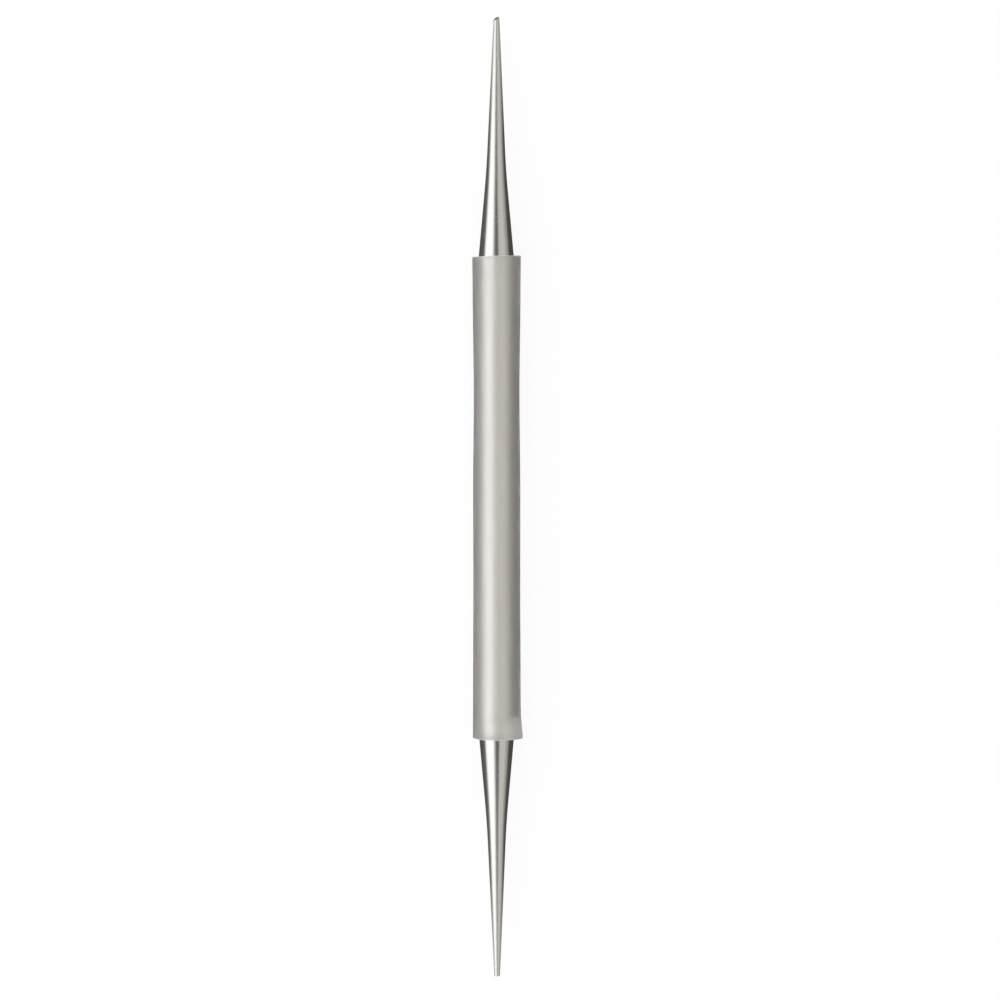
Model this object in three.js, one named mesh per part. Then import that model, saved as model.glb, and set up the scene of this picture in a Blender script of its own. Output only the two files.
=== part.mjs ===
// Double-ended cuticle pusher: two turned steel points pressed into a hollow steel handle,
// with a frosted silicone tube stretched over the handle as its grip.
// Millimetres, +Z up. The tool lies on a table with its long axis along Y.
// The origin is under the middle of the tool, on the table, and the upper point faces +Y.

import * as THREE from 'three';

// Sides of every round section. All sections share them, so that fits stay even all round.
const sides = 24;

// Steel handle under the grip
const handleLength = 65;
const handleDiameter = 5.3;
const handleWall = 0.7;

// Turned point, from its blunt end to the shoulder that seats on the handle
const pointLength = 37.5;
const pointDiameter = 0.84;
const pointEdgeRadius = 0.16;
const bendDistance = 22.4;
const bendDiameter = 2.86;
const bendBlend = 3.2;
const landLength = 1.5;

// Spigot behind the shoulder, pressed into the handle's bore
const spigotLength = 8;
const spigotChamfer = 0.4;
const pressClearance = 0.02;

// Silicone grip: how far it laps over each point, its wall, and its drawn-in waist
const upperLap = 2.6;
const lowerLap = 3;
const slideClearance = 0.05;
const sleeveWall = 0.8;
const sleeveWaistWall = 0.64;
const sleeveUpperLand = 5;
const waistDistance = 21;
const waistRun = 15;

// Steps along each curved stretch of an outline
const edgeSteps = 4;
const bendSteps = 8;
const waistSteps = 6;

// Values that follow from the driving dimensions
const handleRadius = handleDiameter / 2;
const handleBoreRadius = handleRadius - handleWall;
const handleEnd = handleLength / 2;
const sleeveBoreRadius = handleRadius + slideClearance;
const sleeveRadius = sleeveBoreRadius + sleeveWall;
const flatToVertex = Math.cos(Math.PI / sides);
const axisHeight = sleeveRadius * flatToVertex;

const polishedSteel = { color: 0xb4b1ab, roughness: 0.12, metalness: 1 };
const drawnSteel = { color: 0x9c9a96, roughness: 0.35, metalness: 1 };
const frostedSilicone = { color: 0xcfccc7, roughness: 0.45, metalness: 0, transparent: true, opacity: 0.75 };

// A solid of revolution about the tool's axis, with a flat side down so that the tool rests on it.
function turned(name, outline, finish) {
  const geometry = new THREE.LatheGeometry(outline, sides, Math.PI / sides, 2 * Math.PI);
  const mesh = new THREE.Mesh(geometry, new THREE.MeshStandardMaterial(finish));
  mesh.name = name;
  return mesh;
}

// The outline's points from a path whose curves are drawn one after another, each with its own steps.
function pointsOf(path, stepsOfCurves) {
  const points = [path.curves[0].getPoint(0)];
  path.curves.forEach((curve, index) => {
    points.push(...curve.getPoints(stepsOfCurves[index]).slice(1));
  });
  return points;
}

// Steel point: the outline starts on the axis at the spigot's inner end and ends on the axis at the blunt tip.
function pointOutline() {
  const shoulder = handleEnd;
  const tip = shoulder + pointLength;
  const spigotEnd = shoulder - spigotLength;
  const spigotRadius = handleBoreRadius - pressClearance;
  const flareEnd = shoulder + landLength;
  const tipRadius = pointDiameter / 2;
  const bend = new THREE.Vector2(bendDiameter / 2, tip - bendDistance);
  const flare = new THREE.Vector2(handleRadius, flareEnd);
  const slender = new THREE.Vector2(tipRadius, tip - pointEdgeRadius);
  const bendStart = bend.clone().add(flare.clone().sub(bend).setLength(bendBlend));
  const bendFinish = bend.clone().add(slender.clone().sub(bend).setLength(bendBlend));

  const path = new THREE.Path();
  const steps = [];
  path.moveTo(0, spigotEnd);
  path.lineTo(spigotRadius - spigotChamfer, spigotEnd);
  steps.push(1);
  path.lineTo(spigotRadius, spigotEnd + spigotChamfer);
  steps.push(1);
  path.lineTo(spigotRadius, shoulder);
  steps.push(1);
  path.lineTo(handleRadius, shoulder);
  steps.push(1);
  path.lineTo(flare.x, flare.y);
  steps.push(1);
  path.lineTo(bendStart.x, bendStart.y);
  steps.push(1);
  path.quadraticCurveTo(bend.x, bend.y, bendFinish.x, bendFinish.y);
  steps.push(bendSteps);
  path.lineTo(slender.x, slender.y);
  steps.push(1);
  path.quadraticCurveTo(tipRadius, tip, tipRadius - pointEdgeRadius, tip);
  steps.push(edgeSteps);
  path.lineTo(0, tip);
  steps.push(1);
  return pointsOf(path, steps);
}

// Hollow handle: a plain tube, its outline closed on itself.
function handleOutline() {
  return [
    new THREE.Vector2(handleBoreRadius, -handleEnd),
    new THREE.Vector2(handleRadius, -handleEnd),
    new THREE.Vector2(handleRadius, handleEnd),
    new THREE.Vector2(handleBoreRadius, handleEnd),
    new THREE.Vector2(handleBoreRadius, -handleEnd),
  ];
}

// Silicone grip: a straight bore, and an outside that is drawn in to a waist nearer its upper end.
function sleeveOutline() {
  const lowerEnd = -handleEnd - lowerLap;
  const upperEnd = handleEnd + upperLap;
  const waist = upperEnd - waistDistance;
  const waistRadius = sleeveBoreRadius + sleeveWaistWall;
  const waistLower = waist - waistRun;
  const waistUpper = upperEnd - sleeveUpperLand;
  const lowerPull = (waistLower + waist) / 2;
  const upperPull = (waistUpper + waist) / 2;

  const path = new THREE.Path();
  const steps = [];
  path.moveTo(sleeveBoreRadius, lowerEnd);
  path.lineTo(sleeveRadius, lowerEnd);
  steps.push(1);
  path.lineTo(sleeveRadius, waistLower);
  steps.push(1);
  path.bezierCurveTo(sleeveRadius, lowerPull, waistRadius, lowerPull, waistRadius, waist);
  steps.push(waistSteps);
  path.bezierCurveTo(waistRadius, upperPull, sleeveRadius, upperPull, sleeveRadius, waistUpper);
  steps.push(waistSteps);
  path.lineTo(sleeveRadius, upperEnd);
  steps.push(1);
  path.lineTo(sleeveBoreRadius, upperEnd);
  steps.push(1);
  path.lineTo(sleeveBoreRadius, lowerEnd);
  steps.push(1);
  return pointsOf(path, steps);
}

// The two points are one turned part, used twice: the lower one is turned end for end about the Z axis.
const upperTip = turned('upper_tip', pointOutline(), polishedSteel);
const lowerTip = turned('lower_tip', pointOutline(), polishedSteel);
lowerTip.rotation.z = Math.PI;
const coreTube = turned('core_tube', handleOutline(), drawnSteel);
const siliconeSleeve = turned('silicone_sleeve', sleeveOutline(), frostedSilicone);

const cuticlePusher = new THREE.Group();
cuticlePusher.position.z = axisHeight;
cuticlePusher.add(upperTip, lowerTip, coreTube, siliconeSleeve);

export default cuticlePusher;
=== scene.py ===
import math

import bpy
from mathutils import Euler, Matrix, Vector


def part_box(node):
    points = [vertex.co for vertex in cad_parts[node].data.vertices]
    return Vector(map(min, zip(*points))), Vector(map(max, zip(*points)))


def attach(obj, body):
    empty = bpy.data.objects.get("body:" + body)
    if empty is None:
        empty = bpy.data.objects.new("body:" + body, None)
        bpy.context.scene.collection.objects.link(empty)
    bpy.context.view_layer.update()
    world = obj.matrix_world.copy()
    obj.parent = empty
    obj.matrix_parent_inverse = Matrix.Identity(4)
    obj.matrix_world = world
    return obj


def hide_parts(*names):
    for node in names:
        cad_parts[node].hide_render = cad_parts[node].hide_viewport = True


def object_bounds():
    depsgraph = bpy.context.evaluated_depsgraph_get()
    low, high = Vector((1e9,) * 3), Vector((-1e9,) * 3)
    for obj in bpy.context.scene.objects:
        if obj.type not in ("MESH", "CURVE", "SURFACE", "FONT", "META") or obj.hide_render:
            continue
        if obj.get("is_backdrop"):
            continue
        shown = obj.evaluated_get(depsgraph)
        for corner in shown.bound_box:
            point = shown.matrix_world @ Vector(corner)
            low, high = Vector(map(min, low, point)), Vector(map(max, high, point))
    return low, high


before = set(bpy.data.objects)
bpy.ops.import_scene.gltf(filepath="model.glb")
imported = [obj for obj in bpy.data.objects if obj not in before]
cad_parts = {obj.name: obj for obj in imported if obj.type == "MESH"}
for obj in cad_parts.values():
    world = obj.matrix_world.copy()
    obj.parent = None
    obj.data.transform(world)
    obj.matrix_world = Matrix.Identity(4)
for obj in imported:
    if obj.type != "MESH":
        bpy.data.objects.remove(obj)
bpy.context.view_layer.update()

bpy.context.scene.view_settings.view_transform = "Standard"

# Handle tube
# A length of drawn stainless steel tube that carries both points and lies hidden in the grip.
# It is cut square, its rims are lightly broken, and the drawing die leaves it satin.
mm = 0.001
round_sides = 96
handle_radius = 2.65 * mm
handle_bore_radius = 1.95 * mm
handle_rim_break = 0.12 * mm
handle_rim_segments = 2
steel_rim_angle = math.radians(30)
merge_distance = 0.0005 * mm
handle_low, handle_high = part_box("core_tube")
axis_height = (handle_low.z + handle_high.z) / 2


def start_ring(name, y, radius, fill):
    """A circle round the tool's axis at y, left in edit mode with all of it selected."""
    bpy.ops.object.select_all(action="DESELECT")
    bpy.ops.mesh.primitive_circle_add(
        vertices=round_sides,
        radius=radius,
        fill_type=fill,
        location=(0, y, axis_height),
        rotation=(math.pi / 2, 0, 0),
    )
    piece = bpy.context.object
    piece.name = name
    piece.data.name = name
    bpy.ops.object.transform_apply(location=True, rotation=True, scale=True)
    bpy.ops.object.mode_set(mode="EDIT")
    bpy.ops.mesh.select_all(action="SELECT")
    return piece


def draw_out(rings):
    """Extrudes the selected ring through (y, radius) stations, the first being where it stands now."""
    for (y, radius), (next_y, next_radius) in zip(rings, rings[1:]):
        bpy.ops.mesh.extrude_region_move(TRANSFORM_OT_translate={"value": (0, next_y - y, 0)})
        share = next_radius / radius
        bpy.ops.transform.resize(value=(share, 1, share), center_override=(0, next_y, axis_height))


def close_tube():
    """Joins a tube's first and last ring into one closed wall."""
    bpy.ops.mesh.select_all(action="DESELECT")
    bpy.ops.mesh.select_mode(type="EDGE")
    bpy.ops.mesh.select_non_manifold()
    bpy.ops.mesh.bridge_edge_loops()


def finish_mesh(rim_angle):
    """Turns faces outwards, leaves edit mode and shades smooth all but edges sharper than rim_angle."""
    bpy.ops.mesh.select_all(action="SELECT")
    bpy.ops.mesh.remove_doubles(threshold=merge_distance)
    bpy.ops.mesh.normals_make_consistent(inside=False)
    bpy.ops.object.mode_set(mode="OBJECT")
    bpy.ops.object.shade_smooth_by_angle(angle=rim_angle)


def break_rims(piece, width, segments, rim_angle):
    """Bevels the edges of a piece that are sharper than rim_angle."""
    rims = piece.modifiers.new("rim_break", "BEVEL")
    rims.width = width
    rims.segments = segments
    rims.angle_limit = rim_angle
    bpy.ops.object.modifier_apply(modifier=rims.name)


handle = start_ring("handle_tube", handle_low.y, handle_radius, "NOTHING")
draw_out([
    (handle_low.y, handle_radius),
    (handle_high.y, handle_radius),
    (handle_high.y, handle_bore_radius),
    (handle_low.y, handle_bore_radius),
])
close_tube()
finish_mesh(steel_rim_angle)
break_rims(handle, handle_rim_break, handle_rim_segments, steel_rim_angle)


def linear(hex_colour, alpha=1.0):
    """A colour written as sRGB hex, in the linear values that the shaders take."""
    parts = [int(hex_colour[i : i + 2], 16) / 255 for i in (0, 2, 4)]
    return [p / 12.92 if p <= 0.04045 else ((p + 0.055) / 1.055) ** 2.4 for p in parts] + [alpha]


def add(owner, kind, values=(), links=(), **options):
    """Adds a node to a material or world: its options, its sockets' values, and links into its sockets."""
    made = owner.node_tree.nodes.new(kind)
    for option, setting in options.items():
        setattr(made, option, setting)
    for socket, value in dict(values).items():
        made.inputs[socket].default_value = value
    for socket, source in dict(links).items():
        owner.node_tree.links.new(source, made.inputs[socket])
    return made


def new_material(name):
    """An empty node material."""
    material = bpy.data.materials.new(name)
    material.use_nodes = True
    material.node_tree.nodes.clear()
    return material


# Drawn stainless steel: lines from the die give a satin streak along the tube.
# Real die lines are too fine to show, so these are drawn coarser than they are.
satin_colour = "e1e0dd"
satin_roughness = (0.33, 0.45)
draw_line_width = 0.15 * mm
draw_line_length = 8 * mm
draw_line_depth = 0.004 * mm
draw_line_strength = 0.15
draw_line_detail = 3.0
draw_line_contrast = (0.35, 0.65)
drawn_steel = new_material("drawn_stainless_steel_satin")
place = add(drawn_steel, "ShaderNodeTexCoord")
stretch = add(
    drawn_steel,
    "ShaderNodeMapping",
    {"Scale": (1 / draw_line_width, 1 / draw_line_length, 1 / draw_line_width)},
    {"Vector": place.outputs["Object"]},
)
lines = add(
    drawn_steel,
    "ShaderNodeTexNoise",
    {"Scale": 1.0, "Detail": draw_line_detail},
    {"Vector": stretch.outputs["Vector"]},
)
satin = add(
    drawn_steel,
    "ShaderNodeMapRange",
    {
        "From Min": draw_line_contrast[0],
        "From Max": draw_line_contrast[1],
        "To Min": satin_roughness[0],
        "To Max": satin_roughness[1],
    },
    {"Value": lines.outputs["Fac"]},
)
relief = add(
    drawn_steel,
    "ShaderNodeBump",
    {"Strength": draw_line_strength, "Distance": draw_line_depth},
    {"Height": lines.outputs["Fac"]},
)
surface = add(
    drawn_steel,
    "ShaderNodeBsdfPrincipled",
    {"Base Color": linear(satin_colour), "Metallic": 1.0},
    {"Roughness": satin.outputs["Result"], "Normal": relief.outputs["Normal"]},
)
add(drawn_steel, "ShaderNodeOutputMaterial", links={"Surface": surface.outputs["BSDF"]})
handle.data.materials.append(drawn_steel)
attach(handle, "shaft")
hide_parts("core_tube")

# Steel points
# One stainless steel point, turned on a lathe and polished, used at both ends of the tool: a slender cone
# widens into a flare, and its spigot is pressed into the handle up to its shoulder.
# Both lean a little to one side, and the upper one's end is ground off at a slant.
point_radius = 0.42 * mm
point_edge = 0.06 * mm
bend_distance = 22.4 * mm
bend_radius = 1.43 * mm
bend_blend = 3.2 * mm
land_length = 1.5 * mm
spigot_radius = 1.93 * mm
spigot_chamfer = 0.4 * mm
ground_depth = 0.31 * mm
ground_face = (-0.5, 1.0, 0.62)
ground_tolerance = 0.0001 * mm
lean = 0.05 * mm
lean_length = 25 * mm
edge_steps = 6
bend_steps = 12
cone_steps = 10
point_low, point_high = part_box("upper_tip")
shoulder = handle_high.y
flare_end = shoulder + land_length
tip = point_high.y
bend_y = tip - bend_distance


def straight(start, end, steps):
    """Stations on a straight taper, without its first one."""
    return [tuple(Vector(start).lerp(Vector(end), i / steps)) for i in range(1, steps + 1)]


def curved(start, corner, end, steps):
    """Stations on a bend from start to end that is drawn towards corner, without its first one."""
    found = []
    for i in range(1, steps + 1):
        first = Vector(start).lerp(Vector(corner), i / steps)
        second = Vector(corner).lerp(Vector(end), i / steps)
        found.append(tuple(first.lerp(second, i / steps)))
    return found


bend = Vector((bend_y, bend_radius))
flare_top = Vector((flare_end, handle_radius))
cone_top = Vector((tip - point_edge, point_radius))
bend_start = bend + (flare_top - bend).normalized() * bend_blend
bend_end = bend + (cone_top - bend).normalized() * bend_blend
stations = [
    (point_low.y, spigot_radius - spigot_chamfer),
    (point_low.y + spigot_chamfer, spigot_radius),
    (shoulder, spigot_radius),
    (shoulder, handle_radius),
    (flare_end, handle_radius),
]
stations += straight(flare_top, bend_start, cone_steps)
stations += curved(bend_start, bend, bend_end, bend_steps)
stations += straight(bend_end, cone_top, cone_steps)
stations += curved(cone_top, (tip, point_radius), (tip, point_radius - point_edge), edge_steps)
upper_point = start_ring("upper_point", *stations[0], "NGON")
draw_out(stations)
finish_mesh(steel_rim_angle)

# Polished stainless steel: turning and buffing leave faint rings, which blur its sharp reflections.
# Real rings are too fine to show, so these are spaced wider. Towards the tip the steel is rougher
# and its colour is paler.
# What goes under the grip isn't buffed: it is as satin and pale as the tube.
# The middle of an end face is painted near black, a painted dark reflection.
bright_colour = "c9c8c5"
tip_colour = "d0cfcc"
dark_reflection_colour = "2c2c2b"
bright_roughness = 0.24
hidden_dullness = 0.15
tip_dullness = 0.20
tip_dull_from = 35 * mm
ring_spacing = 0.25 * mm
ring_reach = 12 * mm
ring_roughness = 0.012
ring_depth = 0.003 * mm
ring_strength = 0.015
ring_detail = 2.0
grip_edge = 34.75 * mm
grip_edge_blend = 0.2 * mm
end_face_slope = (0.5, 0.7)
dark_reflection_radii = (0.12 * mm, 0.34 * mm)
endless = 1e6
polished_steel = new_material("polished_stainless_steel")
place = add(polished_steel, "ShaderNodeTexCoord")
stretch = add(
    polished_steel,
    "ShaderNodeMapping",
    {"Scale": (1 / ring_reach, 1 / ring_spacing, 1 / ring_reach)},
    {"Vector": place.outputs["Object"]},
)
rings = add(
    polished_steel,
    "ShaderNodeTexNoise",
    {"Scale": 1.0, "Detail": ring_detail},
    {"Vector": stretch.outputs["Vector"]},
)
buffed = add(
    polished_steel,
    "ShaderNodeMapRange",
    {"To Min": bright_roughness - ring_roughness, "To Max": bright_roughness + ring_roughness},
    {"Value": rings.outputs["Fac"]},
)
along = add(polished_steel, "ShaderNodeSeparateXYZ", links={"Vector": place.outputs["Object"]})
from_middle = add(polished_steel, "ShaderNodeMath", links={0: along.outputs["Y"]}, operation="ABSOLUTE")
hidden = add(
    polished_steel,
    "ShaderNodeMapRange",
    {"From Min": grip_edge + grip_edge_blend, "From Max": grip_edge - grip_edge_blend},
    {"Value": from_middle.outputs["Value"]},
)
towards_tip = add(
    polished_steel,
    "ShaderNodeMapRange",
    {"From Min": tip_dull_from, "From Max": tip},
    {"Value": from_middle.outputs["Value"]},
)
polish = add(
    polished_steel,
    "ShaderNodeMath",
    {1: hidden_dullness},
    {0: hidden.outputs["Result"], 2: buffed.outputs["Result"]},
    operation="MULTIPLY_ADD",
)
polish = add(
    polished_steel,
    "ShaderNodeMath",
    {1: tip_dullness},
    {0: towards_tip.outputs["Result"], 2: polish.outputs["Value"]},
    operation="MULTIPLY_ADD",
)
facing = add(polished_steel, "ShaderNodeSeparateXYZ", links={"Vector": place.outputs["Normal"]})
endwards = add(polished_steel, "ShaderNodeMath", links={0: facing.outputs["Y"]}, operation="ABSOLUTE")
end_face = add(
    polished_steel,
    "ShaderNodeMapRange",
    {"From Min": end_face_slope[0], "From Max": end_face_slope[1]},
    {"Value": endwards.outputs["Value"]},
)
# Lengths along the tool count for nothing here, which leaves the distance from its axis.
from_axis = add(
    polished_steel,
    "ShaderNodeMapping",
    {"Location": (lean, 0, axis_height), "Scale": (1, endless, 1)},
    {"Vector": place.outputs["Object"]},
    vector_type="TEXTURE",
)
off_axis = add(
    polished_steel, "ShaderNodeVectorMath", links={0: from_axis.outputs["Vector"]}, operation="LENGTH"
)
# Painted dark reflection: near the axis, an end face is given a near-black colour.
dark_reflection_spot = add(
    polished_steel,
    "ShaderNodeMapRange",
    {"From Min": dark_reflection_radii[1], "From Max": dark_reflection_radii[0]},
    {"Value": off_axis.outputs["Value"]},
)
painted_dark_reflection = add(
    polished_steel,
    "ShaderNodeMath",
    links={0: end_face.outputs["Result"], 1: dark_reflection_spot.outputs["Result"]},
    operation="MULTIPLY",
)
tone = add(
    polished_steel,
    "ShaderNodeMix",
    {6: linear(bright_colour), 7: linear(tip_colour)},
    {0: towards_tip.outputs["Result"]},
    data_type="RGBA",
)
for share, colour in ((hidden.outputs["Result"], satin_colour), (painted_dark_reflection.outputs["Value"], dark_reflection_colour)):
    tone = add(
        polished_steel,
        "ShaderNodeMix",
        {7: linear(colour)},
        {0: share, 6: tone.outputs[2]},
        data_type="RGBA",
    )
relief = add(
    polished_steel,
    "ShaderNodeBump",
    {"Strength": ring_strength, "Distance": ring_depth},
    {"Height": rings.outputs["Fac"]},
)
surface = add(
    polished_steel,
    "ShaderNodeBsdfPrincipled",
    {"Metallic": 1.0},
    {
        "Base Color": tone.outputs[2],
        "Roughness": polish.outputs["Value"],
        "Normal": relief.outputs["Normal"],
    },
)
add(polished_steel, "ShaderNodeOutputMaterial", links={"Surface": surface.outputs["BSDF"]})
upper_point.data.materials.append(polished_steel)

bpy.ops.object.duplicate()
lower_point = bpy.context.object
lower_point.name = "lower_point"
lower_point.data.name = "lower_point"
lower_point.rotation_euler.z = math.pi
bpy.ops.object.transform_apply(location=True, rotation=True, scale=True)


def select_where(test):
    """In edit mode, selects the active piece's vertices whose place passes the test."""
    bpy.ops.mesh.select_mode(type="VERT")
    bpy.ops.mesh.select_all(action="DESELECT")
    bpy.ops.object.mode_set(mode="OBJECT")
    for vertex in bpy.context.object.data.vertices:
        vertex.select = test(vertex.co)
    bpy.ops.object.mode_set(mode="EDIT")


for piece, node in ((upper_point, "upper_tip"), (lower_point, "lower_tip")):
    bpy.ops.object.select_all(action="DESELECT")
    piece.select_set(True)
    bpy.context.view_layer.objects.active = piece
    bpy.ops.object.mode_set(mode="EDIT")
    select_where(lambda place: abs(place.y) > tip - point_edge)
    bpy.ops.transform.translate(
        value=(lean, 0, 0),
        use_proportional_edit=True,
        proportional_edit_falloff="SMOOTH",
        proportional_size=lean_length,
    )
    if piece is upper_point:
        bpy.ops.mesh.select_all(action="SELECT")
        bpy.ops.mesh.bisect(
            plane_co=(lean, tip - ground_depth, axis_height),
            plane_no=ground_face,
            use_fill=True,
            clear_outer=True,
            threshold=ground_tolerance,
        )
    finish_mesh(steel_rim_angle)
    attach(piece, "shaft")
    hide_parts(node)

# Silicone grip
# A length of frosted silicone tube stretched over the handle and a little way onto both points.
# It is cut by hand, so its ends are a little out of square, and it is drawn in at a waist.
# At the lower end its right corner is pulled away from the steel.
bore_radius = 2.70 * mm
upper_trim = 0.1 * mm
lower_trim = 0.26 * mm
grip_low, grip_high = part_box("silicone_sleeve")
upper_end = grip_high.y - upper_trim
lower_end = grip_low.y + lower_trim
grip_outside = [
    (0 * mm, 3.54 * mm),
    (5 * mm, 3.50 * mm),
    (20 * mm, 3.34 * mm),
    (35 * mm, 3.45 * mm),
    (49 * mm, 3.43 * mm),
    (63 * mm, 3.48 * mm),
    (upper_end - lower_end, 3.50 * mm),
]
outside_shift = 0.036 * mm
clear_of_bore = 0.2 * mm
cut_ends = (
    (upper_end, "Z", math.radians(-1.6)),
    (upper_end, "X", math.radians(-4.0)),
    (lower_end, "X", math.radians(-2.6)),
)
pull_angle = math.radians(8)
pull_half_width = math.radians(8)
pull_height = 0.2 * mm
pull = 0.32 * mm
pull_reach = 5.6 * mm
grip_rim_break = 0.1 * mm
grip_rim_segments = 3
grip_rim_angle = math.radians(60)
grip_smooth_angle = math.radians(40)
grip_step = 0.8 * mm
fine_length = 6 * mm
fine_step = 0.3 * mm


def outside_radius(distance):
    """The grip's outer radius at a distance from its upper end, eased between the stations above."""
    for (start, radius), (end, next_radius) in zip(grip_outside, grip_outside[1:]):
        if distance <= end:
            share = (distance - start) / (end - start)
            return radius + (next_radius - radius) * share * share * (3 - 2 * share)
    return grip_outside[-1][1]


fine_start = lower_end + fine_length
long_rings = round((upper_end - fine_start) / grip_step)
fine_rings = round(fine_length / fine_step)
down = [upper_end + (fine_start - upper_end) * i / long_rings for i in range(long_rings)]
down += [fine_start - fine_length * i / fine_rings for i in range(fine_rings + 1)]
outer_wall = [(y, outside_radius(upper_end - y)) for y in down]
inner_wall = [(y, bore_radius) for y in reversed(down)]
grip = start_ring("silicone_grip", *outer_wall[0], "NOTHING")
draw_out(outer_wall + inner_wall)
close_tube()

for end_y, axis, slant in cut_ends:
    select_where(lambda place: abs(place.y - end_y) < fine_step / 2)
    bpy.ops.transform.rotate(value=slant, orient_axis=axis, center_override=(0, end_y, axis_height))
select_where(lambda place: math.hypot(place.x, place.z - axis_height) > bore_radius + clear_of_bore)
bpy.ops.transform.translate(value=(outside_shift, 0, 0))
select_where(
    lambda place: place.y < lower_end + pull_height
    and abs(math.atan2(place.z - axis_height, place.x) - pull_angle) < pull_half_width
)
bpy.ops.transform.translate(
    value=(pull * math.cos(pull_angle), 0, pull * math.sin(pull_angle)),
    use_proportional_edit=True,
    proportional_edit_falloff="SHARP",
    proportional_size=pull_reach,
)
finish_mesh(grip_smooth_angle)
break_rims(grip, grip_rim_break, grip_rim_segments, grip_rim_angle)
bpy.ops.object.shade_smooth_by_angle(angle=grip_smooth_angle)

# Frosted silicone: clear rubber with a matt skin, so the steel under it shows blurred and pale.
# It is paler where it is pulled away from the steel at one corner, which is painted light from the floor
# seen through the lifted flap, and it whitens on the cut ends.
# The skin's real grain is too fine to show, so it is drawn coarser than it is.
silicone_colour = "fefdfc"
silicone_roughness = 0.65
silicone_ior = 1.41
skin_grain = 0.12 * mm
skin_depth = 0.01 * mm
skin_strength = 0.1
skin_detail = 2.0
clear_share = 0.97
pulled_share = 0.80
cut_share = 0.60
pulled_corner = (3.66 * mm, lower_end - 1.0 * mm, axis_height)
pulled_size = (2.9 * mm, 4.8 * mm, 20 * mm)
pulled_fade = (0.84, 1.1)
cut_slope = (0.2, 0.6)
frosted_silicone = new_material("frosted_silicone_rubber")
place = add(frosted_silicone, "ShaderNodeTexCoord")
grain = add(
    frosted_silicone,
    "ShaderNodeTexNoise",
    {"Scale": 1 / skin_grain, "Detail": skin_detail},
    {"Vector": place.outputs["Object"]},
)
relief = add(
    frosted_silicone,
    "ShaderNodeBump",
    {"Strength": skin_strength, "Distance": skin_depth},
    {"Height": grain.outputs["Fac"]},
)
from_corner = add(
    frosted_silicone,
    "ShaderNodeMapping",
    {"Location": pulled_corner, "Scale": pulled_size},
    {"Vector": place.outputs["Object"]},
    vector_type="TEXTURE",
)
away = add(
    frosted_silicone, "ShaderNodeVectorMath", links={0: from_corner.outputs["Vector"]}, operation="LENGTH"
)
# Painted light: by the pulled corner the silicone is less clear, so it shows paler.
flap_light = add(
    frosted_silicone,
    "ShaderNodeMapRange",
    {
        "From Min": pulled_fade[0],
        "From Max": pulled_fade[1],
        "To Min": pulled_share,
        "To Max": clear_share,
    },
    {"Value": away.outputs["Value"]},
    interpolation_type="SMOOTHSTEP",
)
facing = add(frosted_silicone, "ShaderNodeSeparateXYZ", links={"Vector": place.outputs["Normal"]})
endwards = add(frosted_silicone, "ShaderNodeMath", links={0: facing.outputs["Y"]}, operation="ABSOLUTE")
cut = add(
    frosted_silicone,
    "ShaderNodeMapRange",
    {
        "From Min": cut_slope[0],
        "From Max": cut_slope[1],
        "To Min": clear_share,
        "To Max": cut_share,
    },
    {"Value": endwards.outputs["Value"]},
)
clearness = add(
    frosted_silicone,
    "ShaderNodeMath",
    links={0: flap_light.outputs["Result"], 1: cut.outputs["Result"]},
    operation="MINIMUM",
)
surface = add(
    frosted_silicone,
    "ShaderNodeBsdfPrincipled",
    {"Base Color": linear(silicone_colour), "Roughness": silicone_roughness, "IOR": silicone_ior},
    {"Transmission Weight": clearness.outputs["Value"], "Normal": relief.outputs["Normal"]},
)
add(frosted_silicone, "ShaderNodeOutputMaterial", links={"Surface": surface.outputs["BSDF"]})
grip.data.materials.append(frosted_silicone)
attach(grip, "grip")
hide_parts("silicone_sleeve")

# Floor
# A plain white sweep that the tool lies on. Seen by eye or in a reflection it is mostly plain white,
# and by the tool a small share of it is matt paper, which takes the tool's faint shadow.
floor_side = 6.0
paper_colour = "fafaf8"
white_share_near = 0.93
white_share_far = 1.0
white_near = 80 * mm
white_far = 300 * mm


def seen_share(owner):
    """A socket that is 1 for the eye, in reflections and through silicone, and 0 for scattered light."""
    ray = add(owner, "ShaderNodeLightPath")
    seen = ray.outputs["Is Camera Ray"]
    for way in ("Is Glossy Ray", "Is Transmission Ray"):
        either = add(owner, "ShaderNodeMath", links={0: seen, 1: ray.outputs[way]}, operation="MAXIMUM")
        seen = either.outputs["Value"]
    return seen


visual_low, visual_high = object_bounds()
bpy.ops.object.select_all(action="DESELECT")
bpy.ops.mesh.primitive_plane_add(size=floor_side, location=(0, 0, visual_low.z))
floor = bpy.context.object
floor.name = "floor"
paper = new_material("white_paper")
matt = add(paper, "ShaderNodeBsdfDiffuse", {"Color": linear(paper_colour)})
glow = add(paper, "ShaderNodeEmission", {"Color": linear("ffffff"), "Strength": 1.0})
place = add(paper, "ShaderNodeTexCoord")
away = add(paper, "ShaderNodeVectorMath", links={0: place.outputs["Object"]}, operation="LENGTH")
white_share = add(
    paper,
    "ShaderNodeMapRange",
    {
        "From Min": white_near,
        "From Max": white_far,
        "To Min": white_share_near,
        "To Max": white_share_far,
    },
    {"Value": away.outputs["Value"]},
)
whiteness = add(
    paper,
    "ShaderNodeMath",
    links={0: seen_share(paper), 1: white_share.outputs["Result"]},
    operation="MULTIPLY",
)
mixed = add(
    paper,
    "ShaderNodeMixShader",
    links={0: whiteness.outputs["Value"], 1: matt.outputs["BSDF"], 2: glow.outputs["Emission"]},
)
add(paper, "ShaderNodeOutputMaterial", links={"Surface": mixed.outputs["Shader"]})
floor.data.materials.append(paper)
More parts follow.
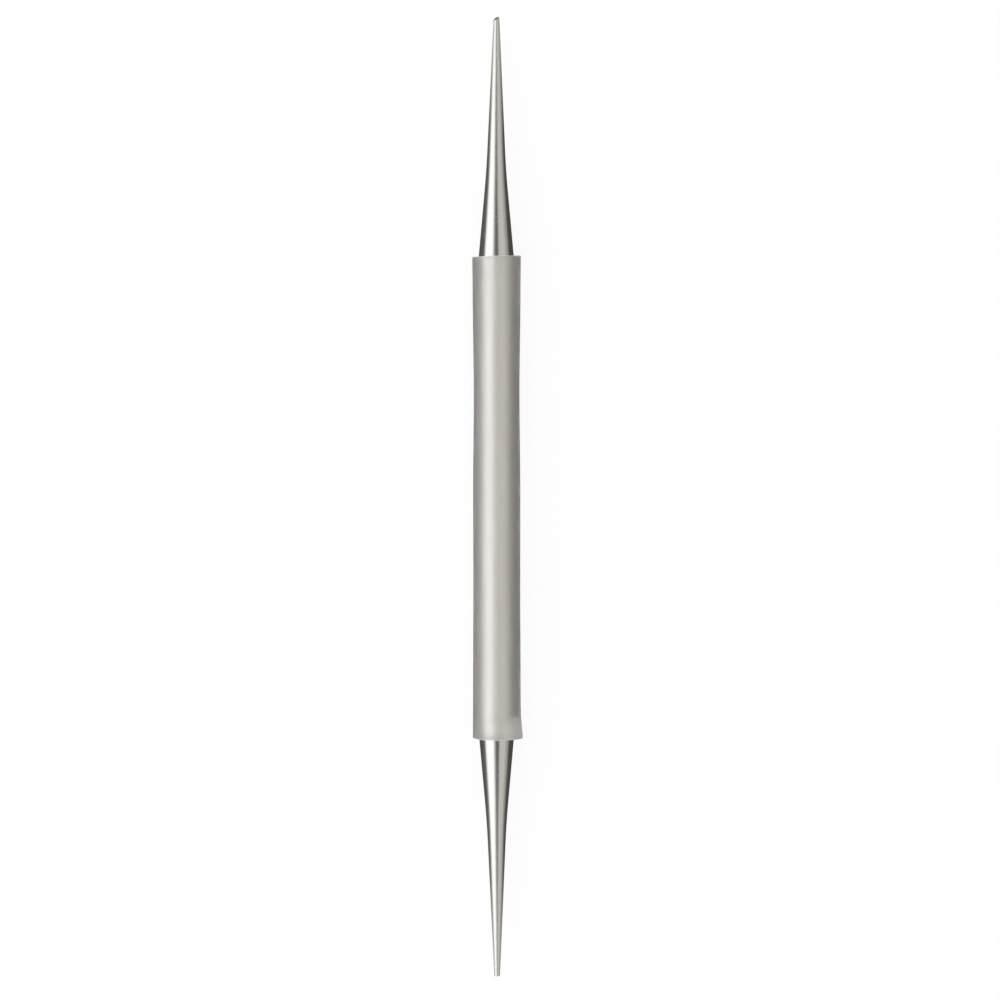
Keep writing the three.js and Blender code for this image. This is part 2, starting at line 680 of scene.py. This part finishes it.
floor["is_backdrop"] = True

# Dark cards
# Cards beside the tool and over it keep the edges of steel and silicone dark against the white floor.
# They are painted shade, seen only in the tool's reflections and through its silicone.
# The ones beside it paint the tool's shadow on the floor, so they are lighter by the thin tips,
# and the one over it hangs in the gap between the lamps and paints that gap dark.
card_length = 1.4
card_colour = "fffbf4"
dark_reach = 55 * mm
card_width = 0.4
card_gap = 0.5 * mm
card_lift = 0.02 * mm
overhead_level = 0.09
overhead_height = 0.7
left_edge_angle = -9.2
right_edge_angle = 16.2
rig_turn = math.radians(6)


def dark_card(name, level, tip_level, width, location, slope, turn):
    """A long card that only shows in the tool's reflections and through its silicone."""
    bpy.ops.object.select_all(action="DESELECT")
    bpy.ops.mesh.primitive_plane_add(size=1, location=location, rotation=(0, slope, turn))
    card = bpy.context.object
    card.name = name
    card.scale = (width, card_length, 1)
    bpy.ops.object.transform_apply(location=False, rotation=False, scale=True)
    grey = new_material(name + "_grey")
    place = add(grey, "ShaderNodeTexCoord")
    along = add(grey, "ShaderNodeSeparateXYZ", links={"Vector": place.outputs["Object"]})
    from_middle = add(grey, "ShaderNodeMath", links={0: along.outputs["Y"]}, operation="ABSOLUTE")
    shade = add(
        grey,
        "ShaderNodeMapRange",
        {"From Min": dark_reach, "From Max": tip, "To Min": level, "To Max": tip_level},
        {"Value": from_middle.outputs["Value"]},
    )
    face = add(
        grey, "ShaderNodeEmission", {"Color": linear(card_colour)}, {"Strength": shade.outputs["Result"]}
    )
    add(grey, "ShaderNodeOutputMaterial", links={"Surface": face.outputs["Emission"]})
    card.data.materials.append(grey)
    card.visible_camera = False
    card.visible_diffuse = False
    card.visible_shadow = False
    card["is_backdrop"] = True


# Name, brightness of the painted shadow by the grip and by the tips, side and slope
side_cards = (
    ("left_card", 0.115, 0.6, -1, math.radians(8)),
    ("right_card", 0.09, 0.48, 1, math.radians(3)),
)
for name, level, tip_level, side, slope in side_cards:
    card_reach = card_gap + card_width / 2 * math.cos(slope)
    card_height = visual_low.z + card_lift + card_width / 2 * math.sin(slope)
    dark_card(name, level, tip_level, card_width, (side * card_reach, 0, card_height), -side * slope, 0)
overhead_left = overhead_height * math.tan(math.radians(left_edge_angle))
overhead_right = overhead_height * math.tan(math.radians(right_edge_angle))
overhead_width = overhead_right - overhead_left
overhead_middle = Vector(((overhead_left + overhead_right) / 2, 0, overhead_height))
overhead_middle.rotate(Euler((0, 0, rig_turn)))
# The overhead card paints a dark gap between the lamps into the tool's reflections.
dark_card("overhead_card", overhead_level, overhead_level, overhead_width, overhead_middle, 0, rig_turn)

# Lamps
# Five long softboxes stand side by side along the tool, in a rig that is turned a little on the floor.
# The left ones are bright, with a dim strip by the gap overhead. The right ones are dimmer and warmer.
# Each fills the stretch between two angles in degrees from straight up, and has a dark back.
softbox_distance = 0.6
softbox_back_gap = 0.01
softbox_back_level = 0.09
# Name, left and right angle, radiance and colour
softboxes = (
    ("left_fill", -88, -73, 1.3, "ffffff"),
    ("left_softbox", -73, -19.7, 1.72, "ffffff"),
    ("left_edge", -19.7, left_edge_angle, 0.56, "ffffff"),
    ("right_softbox", right_edge_angle, 63, 0.775, "fffcf8"),
    ("right_fill", 63, 88, 0.47, "fff9f0"),
)
for name, left_angle, right_angle, radiance, colour in softboxes:
    middle = math.radians((left_angle + right_angle) / 2)
    half = math.radians((right_angle - left_angle) / 2)
    lamp = bpy.data.lights.new(name, "AREA")
    lamp.shape = "RECTANGLE"
    lamp.size = 2 * softbox_distance * math.tan(half)
    lamp.size_y = card_length
    lamp.energy = radiance * math.pi * lamp.size * lamp.size_y
    lamp.color = linear(colour)[:3]
    holder = bpy.data.objects.new(name, lamp)
    bpy.context.scene.collection.objects.link(holder)
    outwards = Vector((math.sin(middle), 0, math.cos(middle)))
    outwards.rotate(Euler((0, 0, rig_turn)))
    holder.location = outwards * softbox_distance + Vector((0, 0, axis_height))
    holder.rotation_euler = (0, middle, rig_turn)
    holder.visible_camera = False
    back = holder.location + outwards * softbox_back_gap
    dark_card(name + "_back", softbox_back_level, softbox_back_level, lamp.size, back, middle, rig_turn)

# Surroundings
# A pale room that is plain white to the eye and in reflections, and fills the shadows a little.
seen_level = 1.0
fill_level = 0.35
room = bpy.data.worlds.new("pale_room")
bpy.context.scene.world = room
room.use_nodes = True
room.node_tree.nodes.clear()
room_level = add(
    room,
    "ShaderNodeMapRange",
    {"To Min": fill_level, "To Max": seen_level},
    {"Value": seen_share(room)},
)
sky = add(
    room, "ShaderNodeBackground", {"Color": linear("ffffff")}, {"Strength": room_level.outputs["Result"]}
)
add(room, "ShaderNodeOutputWorld", links={"Surface": sky.outputs["Background"]})

# Camera
# It looks straight down on the tool, whose upper point is at the top of the picture.
frame_width = 145.9 * mm
lens = 100.0
sensor = 36.0
aim = Vector((0.52 * mm, -0.56 * mm, axis_height))
roll = math.radians(-0.04)
eye = bpy.data.cameras.new("camera")
eye.lens = lens
eye.sensor_width = sensor
camera = bpy.data.objects.new("camera", eye)
bpy.context.scene.collection.objects.link(camera)
camera.location = aim + Vector((0, 0, frame_width * lens / sensor))
camera.rotation_euler.z = roll
bpy.context.scene.camera = camera

# The box of the finished pieces, in metres
visual_low, visual_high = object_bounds()
